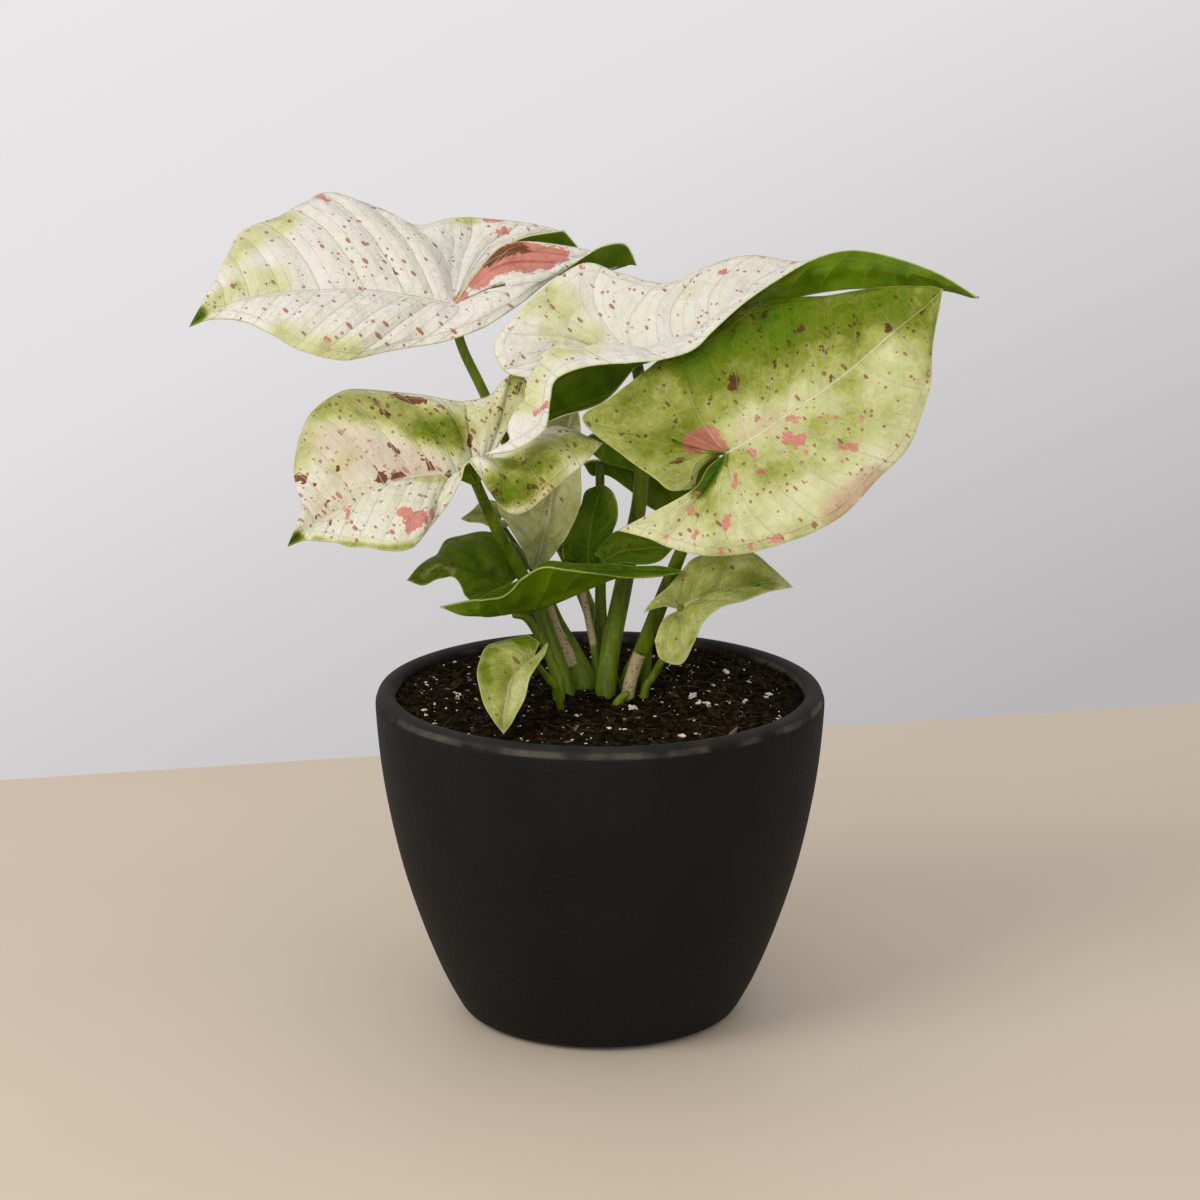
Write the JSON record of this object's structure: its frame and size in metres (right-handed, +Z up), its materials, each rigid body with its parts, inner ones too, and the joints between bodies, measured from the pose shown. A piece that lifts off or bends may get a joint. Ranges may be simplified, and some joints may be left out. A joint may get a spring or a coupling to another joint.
{
  "type": "potted arrowhead plant",
  "caption": "Arrowhead plant with cream, pink and green speckled leaves on slender stalks, growing from soil in a plain round tapered pot with a flat foot.",
  "frame": {"origin": "centre of the pot's foot, on the surface it stands on", "axes": "+Z up along the pot's axis; +X to the right and -Y towards the viewer as pictured"},
  "size_m": [0.2721, 0.16, 0.2894],
  "materials": {
    "pot": "matte, fine pebbled",
    "soil": "crumbly potting mix of bark and peat with white perlite",
    "leaf_cream": "satin leaf, cream-white above with pink and brown flecks, green beneath",
    "leaf_lime": "satin leaf, lime to olive with cream veins and brown-pink patches",
    "leaf_green": "satin leaf, deep green with pale mottling",
    "stalk": "satin green stalk"
  },
  "bodies": {
    "root": {"pot": "pot", "soil": "soil", "blade_01": "leaf_cream", "blade_02": "leaf_cream", "blade_03": "leaf_cream", "blade_04": "leaf_lime", "blade_05": "leaf_lime", "blade_06": "leaf_cream", "blade_07": "leaf_green", "blade_08": "leaf_green", "blade_09": "leaf_green", "blade_10": "leaf_green", "blade_11": "leaf_lime", "blade_12": "leaf_lime", "blade_13": "leaf_lime", "petiole_01": "stalk", "petiole_02": "stalk", "petiole_03": "stalk", "petiole_04": "stalk", "petiole_05": "stalk", "petiole_06": "stalk", "petiole_07": "stalk", "petiole_08": "stalk", "petiole_09": "stalk", "petiole_10": "stalk", "petiole_11": "stalk", "petiole_12": "stalk", "petiole_13": "stalk", "cut_stub": "stalk", "old_sheath": "stalk", "bract": "stalk"}
  },
  "joints": []
}
